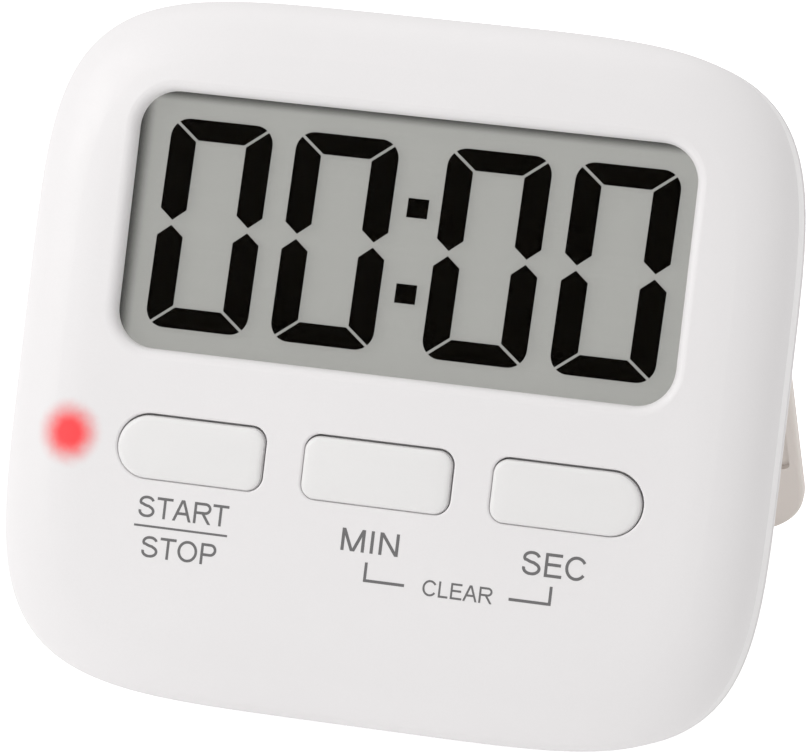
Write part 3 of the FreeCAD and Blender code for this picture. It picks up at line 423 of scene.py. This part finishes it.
def plastic(name, colour, roughness=0.42, grain_mm=0.0035, gloss=0.5):
    """Moulded plastic with grain and flow marks."""
    material, tree, place = start_material(name)
    rough = spread(tree, noise(tree, place, 400.0, 3.0), roughness - 0.05, roughness + 0.05)
    shader = add_node(tree, "ShaderNodeBsdfPrincipled",
                      Base_Color=moulded_colour(tree, place, colour), Roughness=rough,
                      Specular_IOR_Level=gloss, Normal=moulded_normal(tree, place, grain_mm))
    finish_material(tree, shader.outputs["BSDF"])
    return material


def lamp_case_plastic(name, colour):
    """The front shell's plastic, with the red lamp glowing through its thinned spot."""
    material, tree, place = start_material(name)
    centre = CASE @ Vector((LAMP_X, 0.0, LAMP_Z))
    away = add_node(tree, "ShaderNodeVectorMath", {"operation": "DISTANCE"}, _0=place)
    away.inputs[1].default_value = centre
    wobble = spread(tree, noise(tree, place, 900.0, 2.0), -0.12 * MM, 0.12 * MM)
    reach = add_node(tree, "ShaderNodeMath", {"operation": "ADD"}, _0=away.outputs["Value"],
                     _1=wobble).outputs[0]
    glow = add_node(tree, "ShaderNodeMapRange", {"interpolation_type": "SMOOTHSTEP"}, Value=reach,
                    From_Min=LAMP_GLOW_R * MM, From_Max=LAMP_CORE_R * MM, To_Min=0.0,
                    To_Max=1.0).outputs["Result"]
    base = moulded_colour(tree, place, colour)
    lit = mix_colour(tree, glow, base, rgb(233, 56, 60))
    rough = spread(tree, noise(tree, place, 400.0, 3.0), 0.38, 0.48)
    core = add_node(tree, "ShaderNodeMath", {"operation": "POWER"}, _0=glow, _1=3.0).outputs[0]
    power = add_node(tree, "ShaderNodeMath", {"operation": "MULTIPLY"}, _0=core,
                     _1=0.2).outputs[0]
    shader = add_node(tree, "ShaderNodeBsdfPrincipled", Base_Color=lit, Roughness=rough,
                      Emission_Color=rgb(255, 70, 76), Emission_Strength=power,
                      Normal=moulded_normal(tree, place))
    finish_material(tree, shader.outputs["BSDF"])
    return material


def clear_sheet(name, tint, sheen_share, roughness):
    """A thin clear layer: see-through face on, with a soft sheen at grazing angles and fine dust."""
    material, tree, place = start_material(name)
    see = add_node(tree, "ShaderNodeBsdfTransparent", Color=tint)
    rough = spread(tree, noise(tree, place, 700.0, 3.0), roughness - 0.05, roughness + 0.05)
    sheen = add_node(tree, "ShaderNodeBsdfAnisotropic", Roughness=rough,
                     Color=(1.0, 1.0, 1.0, 1.0))
    facing = add_node(tree, "ShaderNodeLayerWeight", Blend=0.5).outputs["Facing"]
    grazing = add_node(tree, "ShaderNodeMath", {"operation": "POWER"}, _0=facing, _1=4.0).outputs[0]
    dust = spread(tree, noise(tree, place, 1900.0, 2.0), 0.8, 1.2)
    share = add_node(tree, "ShaderNodeMath", {"operation": "MULTIPLY_ADD"}, _0=grazing,
                     _1=sheen_share, _2=0.001).outputs[0]
    share = add_node(tree, "ShaderNodeMath", {"operation": "MULTIPLY"}, _0=share, _1=dust).outputs[0]
    both = add_node(tree, "ShaderNodeMixShader", _0=share, _1=see.outputs[0], _2=sheen.outputs[0])
    finish_material(tree, both.outputs[0])
    return material


def metal(name, colour, roughness=0.28, streak=True):
    """Metal with fine drawn streaks or a smooth plated finish."""
    material, tree, place = start_material(name)
    stretched = add_node(tree, "ShaderNodeMapping", Vector=place)
    stretched.inputs["Scale"].default_value = (60.0, 2400.0, 900.0) if streak else (300.0,) * 3
    lines = noise(tree, stretched.outputs[0], 1.0, 4.0)
    rough = spread(tree, lines, roughness - 0.08, roughness + 0.08)
    tone = mix_colour(tree, lines, shade(colour, 0.86), colour)
    shader = add_node(tree, "ShaderNodeBsdfPrincipled", Base_Color=tone, Metallic=1.0,
                      Roughness=rough, Normal=bump(tree, lines, 0.003))
    finish_material(tree, shader.outputs["BSDF"])
    return material


def board(name):
    """Solder mask with copper tracks showing as paler lines."""
    material, tree, place = start_material(name)
    bricks = add_node(tree, "ShaderNodeTexBrick", Vector=place, Scale=300.0, Mortar_Size=0.06,
                      Color1=rgb(20, 82, 48), Color2=rgb(24, 96, 56), Mortar=rgb(58, 142, 86))
    shader = add_node(tree, "ShaderNodeBsdfPrincipled", Base_Color=bricks.outputs["Color"],
                      Roughness=0.3, Normal=bump(tree, bricks.outputs["Fac"], 0.02))
    finish_material(tree, shader.outputs["BSDF"])
    return material


def cell_wrap(name):
    """A battery sleeve: dark body and a pale positive band."""
    material, tree, place = start_material(name)
    split = add_node(tree, "ShaderNodeSeparateXYZ", Vector=place)
    band = add_node(tree, "ShaderNodeMapRange", Value=split.outputs["X"], From_Min=0.011,
                    From_Max=0.0112, To_Min=0.0, To_Max=1.0).outputs["Result"]
    tone = mix_colour(tree, band, rgb(46, 50, 56), rgb(196, 160, 84))
    rough = spread(tree, noise(tree, place, 500.0, 2.0), 0.22, 0.36)
    shader = add_node(tree, "ShaderNodeBsdfPrincipled", Base_Color=tone, Roughness=rough,
                      Metallic=0.6, Normal=bump(tree, noise(tree, place, 900.0), 0.004))
    finish_material(tree, shader.outputs["BSDF"])
    return material


def rim_shadow(tree, place, direction, edge, low, near_mm, far_mm):
    """A painted-shadow factor that rises from low to one, near_mm to far_mm away from a straight edge."""
    turned = CASE.to_3x3().normalized() @ Vector(direction)
    start = turned.dot(CASE @ Vector(edge))
    along = add_node(tree, "ShaderNodeVectorMath", {"operation": "DOT_PRODUCT"}, _0=place)
    along.inputs[1].default_value = turned
    made = add_node(tree, "ShaderNodeMapRange", {"interpolation_type": "SMOOTHSTEP"},
                    Value=along.outputs["Value"], From_Min=start + near_mm * MM,
                    From_Max=start + far_mm * MM, To_Min=low, To_Max=1.0)
    return made.outputs["Result"]


def display_backing(name):
    """The display's silver-grey reflector: brushed, with a painted glow (emission standing in for reflected light)
    and a painted shadow of the window lip along the left and top.
    """
    material, tree, place = start_material(name)
    stretched = add_node(tree, "ShaderNodeMapping", Vector=place)
    stretched.inputs["Scale"].default_value = (150.0, 3000.0, 3000.0)
    lines = noise(tree, stretched.outputs[0], 1.0, 2.0)
    fine = noise(tree, place, 5200.0, 1.0)
    tone = mix_colour(tree, lines, rgb(174, 173, 171), rgb(180, 179, 177))
    tone = mix_colour(tree, spread(tree, fine, 0.0, 0.4), tone, rgb(166, 165, 163))
    # Painted shadow: the window lip's shade along the display's left and top edges, painted into the glow.
    left_painted_shadow = rim_shadow(tree, place, (1.0, 0.0, 0.0), (WINDOW[0] - 0.53, 0.0, 0.0), 0.12, 0.0, 1.75)
    top_painted_shadow = rim_shadow(tree, place, (0.0, 0.0, -1.0), (0.0, 0.0, WINDOW[3] + 0.08), 0.12, -0.05, 1.15)
    both = add_node(tree, "ShaderNodeMath", {"operation": "MULTIPLY"}, _0=left_painted_shadow, _1=top_painted_shadow).outputs[0]
    # Painted glow: the display's brightness comes mostly from emission, dimmed by the painted shadow; the base
    # colour keeps only a fifth of the tone.
    glow = add_node(tree, "ShaderNodeMath", {"operation": "MULTIPLY"}, _0=both,
                    _1=0.79).outputs[0]
    base = mix_colour(tree, 0.8, tone, (0.0, 0.0, 0.0, 1.0))
    shader = add_node(tree, "ShaderNodeBsdfPrincipled", Base_Color=base, Roughness=0.5,
                      Emission_Color=tone, Emission_Strength=glow, Specular_IOR_Level=0.1,
                      Normal=bump(tree, fine, 0.002))
    finish_material(tree, shader.outputs["BSDF"])
    return material


WHITE = rgb(232, 230, 231)
MATERIALS = {
    "case_white": plastic("case_white_rear", WHITE),
    "key_white": plastic("key_white", rgb(231, 230, 230), 0.4, 0.003),
    "stand_white": plastic("stand_white", rgb(220, 212, 206), 0.45, 0.004),
    "door_white": plastic("door_white", rgb(230, 228, 229), 0.45, 0.005),
    "lcd_glass": clear_sheet("lcd_glass", (0.995, 0.998, 0.995, 1.0), 0.1, 0.12),
    "polariser_film": clear_sheet("polariser_film", (0.99, 0.99, 0.985, 1.0), 0.3, 0.3),
    "lcd_ink": plastic("lcd_ink", rgb(6, 4, 2), 0.6, 0.001, 0.0),
    "reflector_film": display_backing("reflector_film"),
    "frame_black": plastic("frame_black", rgb(38, 38, 40), 0.5),
    "contact_rubber": plastic("contact_rubber", rgb(150, 152, 156), 0.7, 0.01),
    "pcb_green": board("pcb_green"),
    "resin_black": plastic("resin_black", rgb(24, 24, 26), 0.2, 0.002),
    "steel": metal("steel", rgb(196, 197, 200)),
    "bright_metal": metal("bright_metal", rgb(214, 214, 216), 0.16, False),
    "smd_brown": plastic("smd_brown", rgb(122, 98, 74), 0.5),
    "lamp_red": plastic("lamp_red", rgb(206, 34, 40), 0.25, 0.001),
    "switch_black": plastic("switch_black", rgb(30, 30, 32), 0.48, 0.006),
    "plunger_white": plastic("plunger_white", rgb(220, 220, 214), 0.4),
    "brass_disc": metal("brass_disc", rgb(206, 172, 98), 0.25),
    "lead_red": plastic("lead_red", rgb(176, 30, 30), 0.55, 0.002),
    "lead_black": plastic("lead_black", rgb(24, 24, 24), 0.55, 0.002),
    "cell_wrap": cell_wrap("cell_wrap"),
}
FACE = lamp_case_plastic("case_white_front", WHITE)
INK = plastic("caption_ink", rgb(112, 111, 112), 0.55, 0.002, 0.2)


def dress_cad_nodes():
    """Gives every CAD node its slot's material and smooth shading between its real edges."""
    slots = {part["node"]: part["material_slot"] for part in frame["record"]["subparts"]}
    for name, piece in NODES.items():
        piece.data.materials.clear()
        piece.data.materials.append(MATERIALS[slots[name]])
        piece.data.polygons.foreach_set("use_smooth", [True] * len(piece.data.polygons))
        piece.data.set_sharp_from_angle(angle=math.radians(28.0))


# ---------------------------------------------------------------- front shell
def face_rings(builder, wall, span, rise, base_y, steps):
    """Rings of the soft edge, from a wall's thickness inside the outline in to FACE_RINGS_END."""
    rings = []
    for step in range(steps + 1):
        inset = FACE_RINGS_END * (step / steps) ** RING_CROWDING
        level = base_y + soft_edge(np.array([inset]), span, rise)[0]
        rings.append(builder.ring(superellipse(inset + wall), level))
    return rings


def lip_rings(builder, shape, radius, floor_y, steps=7):
    """Rings round an opening: from the face, over the rounded lip and back to floor_y."""
    rings = []
    for step in range(steps + 1):
        turn = 0.5 * math.pi * (1.0 - step / steps)
        outline = rounded_outline(shape, radius * (1.0 - math.cos(turn)))
        rings.append(builder.ring(outline, outer_depth(outline) + radius * (1.0 - math.sin(turn))))
    rings.append(builder.ring(rounded_outline(shape), floor_y))
    return rings


def outer_depth(points):
    """Depth of the front shell's outer face at (x, z) points."""
    return soft_edge(inset_at(points), FACE_SPAN, FACE_RISE)


def inner_depth(points):
    """Depth of the front shell's inner face at (x, z) points."""
    return INNER_FACE_Y + soft_edge(inset_at(points) - WALL, INNER_SPAN, INNER_RISE)


def side_rings(builder):
    """Rings down the side wall, round the edge of the seam groove and in to the inner wall."""
    groove_y = SEAM_Y - SEAM_GROOVE
    bevel = 0.3 * SEAM_EDGE_R
    places = ((0.0, groove_y - SEAM_EDGE_R), (bevel, groove_y - bevel), (SEAM_EDGE_R, groove_y),
              (SEAM_GROOVE, groove_y), (SEAM_GROOVE, SEAM_Y), (WALL, SEAM_Y))
    return [builder.ring(superellipse(inset), y) for inset, y in places]


def opening_shapes():
    """The window and the key holes, each with its lip's radius."""
    shapes = [(WINDOW, WINDOW_LIP)]
    for index in range(len(KEY_NAMES)):
        x0, x1, z0, z1, left_r, right_r = key_shape(index)
        hole = (x0 - KEY_GAP, x1 + KEY_GAP, z0 - KEY_GAP, z1 + KEY_GAP,
                left_r + KEY_GAP, right_r + KEY_GAP)
        shapes.append((hole, KEY_HOLE_LIP))
    return shapes


def build_front_shell():
    """The front shell as one closed mesh: soft face, rounded window lip, key holes, inner face."""
    builder = Builder()
    outer = face_rings(builder, 0.0, FACE_SPAN, FACE_RISE, 0.0, FACE_RING_COUNT)
    for near, far in zip(outer, outer[1:]):
        builder.bridge(near, far, flip=True)
    sides = side_rings(builder)
    for near, far in zip([outer[0]] + sides, sides):
        builder.bridge(near, far)

    lips = [lip_rings(builder, shape, radius, INNER_FACE_Y) for shape, radius in opening_shapes()]
    for rings in lips:
        for near, far in zip(rings, rings[1:]):
            builder.bridge(near, far, flip=True)
    fill_between(builder, outer[-1], [rings[0] for rings in lips], outer_depth, FACE_SPACING)

    inner = face_rings(builder, WALL, INNER_SPAN, INNER_RISE, INNER_FACE_Y, INNER_RING_COUNT)
    builder.bridge(sides[-1], inner[0])
    for near, far in zip(inner, inner[1:]):
        builder.bridge(near, far)
    fill_between(builder, inner[-1], [rings[-1] for rings in lips], inner_depth, INNER_SPACING,
                 flip=True)
    shell = add_mesh("front_shell_skin", builder.points, builder.faces, "case", FACE, 25.0)
    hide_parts("front_shell")


# ---------------------------------------------------------------- keys
def build_key(index):
    """One key cap: slightly crowned top, rounded edge, skirt and retaining flange."""
    rings = [(-1.3, KEY_TOP_Y - 0.05), (-1.0, KEY_TOP_Y - 0.035), (-0.8, KEY_TOP_Y - 0.015)]
    for step in range(KEY_EDGE_STEPS + 1):
        turn = 0.5 * math.pi * step / KEY_EDGE_STEPS
        rings.append((-KEY_EDGE_W * (1.0 - math.sin(turn)),
                      KEY_TOP_Y + KEY_EDGE_H * (1.0 - math.cos(turn))))
    rings += [(0.0, KEY_SKIRT_Y), (KEY_SKIRT, KEY_SKIRT_Y), (KEY_SKIRT, KEY_FLANGE_Y),
              (KEY_FLANGE, KEY_FLANGE_Y), (KEY_FLANGE, KEY_BACK_Y)]
    x0, x1, z0, z1, left_r, right_r = key_shape(index)
    shape = (x0 - KEY_SAG, x1 - KEY_SAG, z0 - KEY_SAG, z1 - KEY_SAG, left_r, right_r)
    name = KEY_NAMES[index]
    cap = stack_mesh(name + "_cap", lambda grow: rounded_outline(shape, grow), rings, name,
                     MATERIALS["key_white"])
    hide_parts(name + "_key")


# ---------------------------------------------------------------- captions
INK_Y = -0.004
INK_THICK = 0.012
STEM = 0.128


def run(*points):
    """A stroke's centre line through corner points."""
    return [np.array(points, float)]


def bow(cx, cz, rx, rz, first, last):
    """A stroke's centre line along an ellipse, from one angle to another."""
    turn = np.radians(np.linspace(first, last, max(8, int(abs(last - first) / 9.0))))
    return [np.stack([cx + rx * np.cos(turn), cz + rz * np.sin(turn)], 1)]


def joined(*parts):
    """Several centre lines run together as one stroke."""
    return [np.concatenate([part[0] for part in parts])]


def glyphs():
    """Plain sans-serif capitals, one cap height tall: (advance, strokes)."""
    bar_high, bar_low = 1.0 - STEM / 2, STEM / 2
    p_bowl = joined(run((0.17, bar_high), (0.56, bar_high)), bow(0.565, 0.70, 0.24, 0.236, 88, -90),
                    run((0.55, 0.464), (0.17, 0.464)))
    r_bowl = joined(run((0.17, bar_high), (0.64, bar_high)), bow(0.655, 0.723, 0.24, 0.213, 88, -90),
                    run((0.63, 0.51), (0.17, 0.51)))
    s_curve = joined(bow(0.455, 0.725, 0.315, 0.215, 12, 205), bow(0.66, 1.45, 0.9, 0.93, -117, -96),
                     bow(0.475, 0.285, 0.335, 0.228, 62, -190))
    return {
        "A": (0.93, run((0.06, -0.02), (0.467, 1.04)) + run((0.873, -0.02), (0.467, 1.04))
              + run((0.2, 0.36), (0.73, 0.36))),
        "C": (1.008, bow(0.535, 0.5, 0.41, 0.44, 33, 325)),
        "E": (0.93, run((0.174, 0.0), (0.174, 1.0)) + run((0.12, bar_high), (0.84, bar_high))
              + run((0.12, 0.53), (0.80, 0.53)) + run((0.12, bar_low), (0.865, bar_low))),
        "I": (0.388, run((0.198, 0.0), (0.198, 1.0))),
        "L": (0.777, run((0.166, 0.0), (0.166, 1.0)) + run((0.11, bar_low), (0.728, bar_low))),
        "M": (1.163, run((0.165, 0.0), (0.165, 1.0)) + run((0.998, 0.0), (0.998, 1.0))
              + run((0.155, 1.05), (0.5815, -0.05)) + run((1.008, 1.05), (0.5815, -0.05))),
        "N": (1.008, run((0.17, 0.0), (0.17, 1.0)) + run((0.838, 0.0), (0.838, 1.0))
              + run((0.14, 1.05), (0.868, -0.05))),
        "O": (1.087, bow(0.5455, 0.5, 0.42, 0.44, 0, 360)),
        "P": (0.93, run((0.172, 0.0), (0.172, 1.0)) + p_bowl),
        "R": (1.008, run((0.174, 0.0), (0.174, 1.0)) + r_bowl + run((0.52, 0.54), (0.93, -0.03))),
        "S": (0.93, s_curve),
        "T": (0.853, run((0.4275, 0.0), (0.4275, 0.95)) + run((0.033, bar_high), (0.822, bar_high))),
    }


def stroke_band(line):
    """The outline of a stroke of even width along a centre line."""
    step = np.gradient(line, axis=0)
    side = np.stack([-step[:, 1], step[:, 0]], 1)
    side *= 0.5 * STEM / np.linalg.norm(side, axis=1)[:, None]
    return np.concatenate([line + side, (line - side)[::-1]])


def add_caption(text, x0, x1, z0, z1):
    """A printed word that fills a box on the face."""
    bands = []
    pen = 0.0
    letters = glyphs()
    for letter in text:
        advance, strokes = letters[letter]
        bands += [stroke_band(line) + np.array([pen, 0.0]) for line in strokes]
        pen += advance
    points = [Vector(p) for band in bands for p in band]
    points += [Vector(p) for p in ((-1.0, 0.0), (pen + 1.0, 0.0), (-1.0, 1.0), (pen + 1.0, 1.0))]
    edges = [(len(points) - 4, len(points) - 3), (len(points) - 2, len(points) - 1)]
    start = 0
    for band in bands:
        edges += [(start + i, start + (i + 1) % len(band)) for i in range(len(band))]
        start += len(band)
    result = delaunay_2d_cdt(points, edges, [], 0, 1e-6)
    flat = np.array([tuple(p) for p in result[0]])
    middles = np.array([flat[list(face)].mean(0) for face in result[2]])
    inked = np.zeros(len(middles), bool)
    for band in bands:
        inked |= inside_outline(middles, band)
    inked &= (middles[:, 1] > 0.0) & (middles[:, 1] < 1.0)
    faces = [list(face) for face, wanted in zip(result[2], inked) if wanted]
    used = sorted({i for face in faces for i in face})
    place = {old: new for new, old in enumerate(used)}
    kept = flat[used]
    low, high = kept.min(0), kept.max(0)
    kept = (kept - low) / (high - low) * np.array([x1 - x0, z1 - z0]) + np.array([x0, z0])
    print_piece("caption_" + text.lower(), kept, [[place[i] for i in face] for face in faces])


def print_piece(name, placed, faces):
    """A thin closed layer of ink from flat faces."""
    count = len(placed)
    points = [(x, INK_Y - INK_THICK, z) for x, z in placed] + [(x, INK_Y, z) for x, z in placed]
    solid = [list(face) for face in faces] + [[i + count for i in face[::-1]] for face in faces]
    edges = [edge for face in faces for edge in zip(face, face[1:] + face[:1])]
    known = set(edges)
    for a, b in edges:
        if (b, a) not in known:
            solid.append([b, a, a + count, b + count])
    piece = add_mesh(name, points, solid, "case", INK, 30.0)


def add_rule(name, x0, x1, z0, z1):
    """A printed bar."""
    corners = np.array([(x0, z0), (x1, z0), (x1, z1), (x0, z1)])
    print_piece(name, corners, [[0, 1, 2, 3]])


def print_captions():
    """The key captions, the dividing line and the two-key bracket."""
    add_caption("START", -24.55, -14.9, -17.8, -15.6)
    add_caption("STOP", -23.75, -15.75, -21.9, -19.7)
    add_caption("MIN", -2.7, 3.4, -18.6, -16.3)
    add_caption("SEC", 16.4, 22.95, -18.7, -16.25)
    add_caption("CLEAR", 6.35, 13.7, -22.15, -20.5)
    add_rule("caption_line", -24.85, -14.8, -18.81, -18.59)
    add_rule("bracket_left_post", 0.05, 0.35, -21.55, -19.55)
    add_rule("bracket_left_foot", 0.35, 4.4, -21.55, -21.25)
    add_rule("bracket_right_foot", 15.4, 19.5, -21.55, -21.25)
    add_rule("bracket_right_post", 19.5, 19.8, -21.55, -19.6)


# ---------------------------------------------------------------- stage, light and camera
def build_stage():
    """A large pale floor that reads as white paper to the camera."""
    size = 4.0
    mesh = bpy.data.meshes.new("floor")
    mesh.from_pydata([(-size, -size, 0), (size, -size, 0), (size, size, 0), (-size, size, 0)], [],
                     [(0, 1, 2, 3)])
    floor = bpy.data.objects.new("floor", mesh)
    bpy.context.scene.collection.objects.link(floor)
    material, tree, place = start_material("floor_white")
    tone = mix_colour(tree, noise(tree, place, 8.0), (0.86, 0.86, 0.86, 1), (0.9, 0.9, 0.9, 1))
    seen = add_node(tree, "ShaderNodeLightPath").outputs["Is Camera Ray"]
    glow = add_node(tree, "ShaderNodeMath", {"operation": "MULTIPLY_ADD"}, _0=seen, _1=0.55,
                    _2=0.18).outputs[0]
    shader = add_node(tree, "ShaderNodeBsdfPrincipled", Base_Color=tone, Roughness=0.9,
                      Emission_Color=(1, 1, 1, 1), Emission_Strength=glow)
    finish_material(tree, shader.outputs["BSDF"])
    mesh.materials.append(material)


def add_light(name, place, target, width, height, power, colour=(1.0, 1.0, 1.0)):
    """A soft rectangular light aimed at a point."""
    data = bpy.data.lights.new(name, "AREA")
    data.shape = "RECTANGLE"
    data.size = width
    data.size_y = height
    data.energy = power
    data.color = colour
    lamp = bpy.data.objects.new(name, data)
    lamp.location = place
    lamp.rotation_euler = (Vector(target) - Vector(place)).to_track_quat("-Z", "Y").to_euler()
    bpy.context.scene.collection.objects.link(lamp)


def light_scene():
    """An even dome, a broad key at the upper left and a narrow kicker at the right."""
    world = bpy.data.worlds.new("studio")
    bpy.context.scene.world = world
    world.use_nodes = True
    background = world.node_tree.nodes["Background"]
    background.inputs["Color"].default_value = (1.0, 0.995, 0.985, 1.0)
    background.inputs["Strength"].default_value = 0.69
    aim = (0.0, 0.0, 0.035)
    add_light("key_light", (-0.42, -0.3, 0.36), aim, 0.3, 0.3, 1.15, (1.0, 0.995, 0.99))
    add_light("top_light", (-0.08, 0.1, 0.5), aim, 0.4, 0.3, 0.42)
    add_light("side_light", (0.38, 0.36, 0.12), aim, 0.2, 0.3, 0.18, (1.0, 0.99, 0.97))
    view = bpy.context.scene.view_settings
    view.view_transform = "Standard"
    view.look = "None"
    bpy.context.scene.cycles.transparent_max_bounces = 24


def place_camera():
    """A long lens a little to the right of the face and just above its middle."""
    eye = Vector(CAMERA_EYE)
    right = Vector(CAMERA_RIGHT)
    down = Vector(CAMERA_DOWN)
    turn = CASE.to_3x3().normalized()
    forward = right.cross(-down) * -1.0
    axes = Matrix((turn @ right, turn @ -down, turn @ -forward)).transposed()
    data = bpy.data.cameras.new("camera")
    data.sensor_width = 36.0
    data.lens = CAMERA_LENS
    data.clip_start = 0.01
    data.clip_end = 20.0
    camera = bpy.data.objects.new("camera", data)
    camera.matrix_world = Matrix.Translation(CASE @ eye) @ axes.to_4x4()
    bpy.context.scene.collection.objects.link(camera)
    bpy.context.scene.camera = camera


dress_cad_nodes()
build_front_shell()
for key_index in range(len(KEY_NAMES)):
    build_key(key_index)
print_captions()
build_stage()
light_scene()
place_camera()
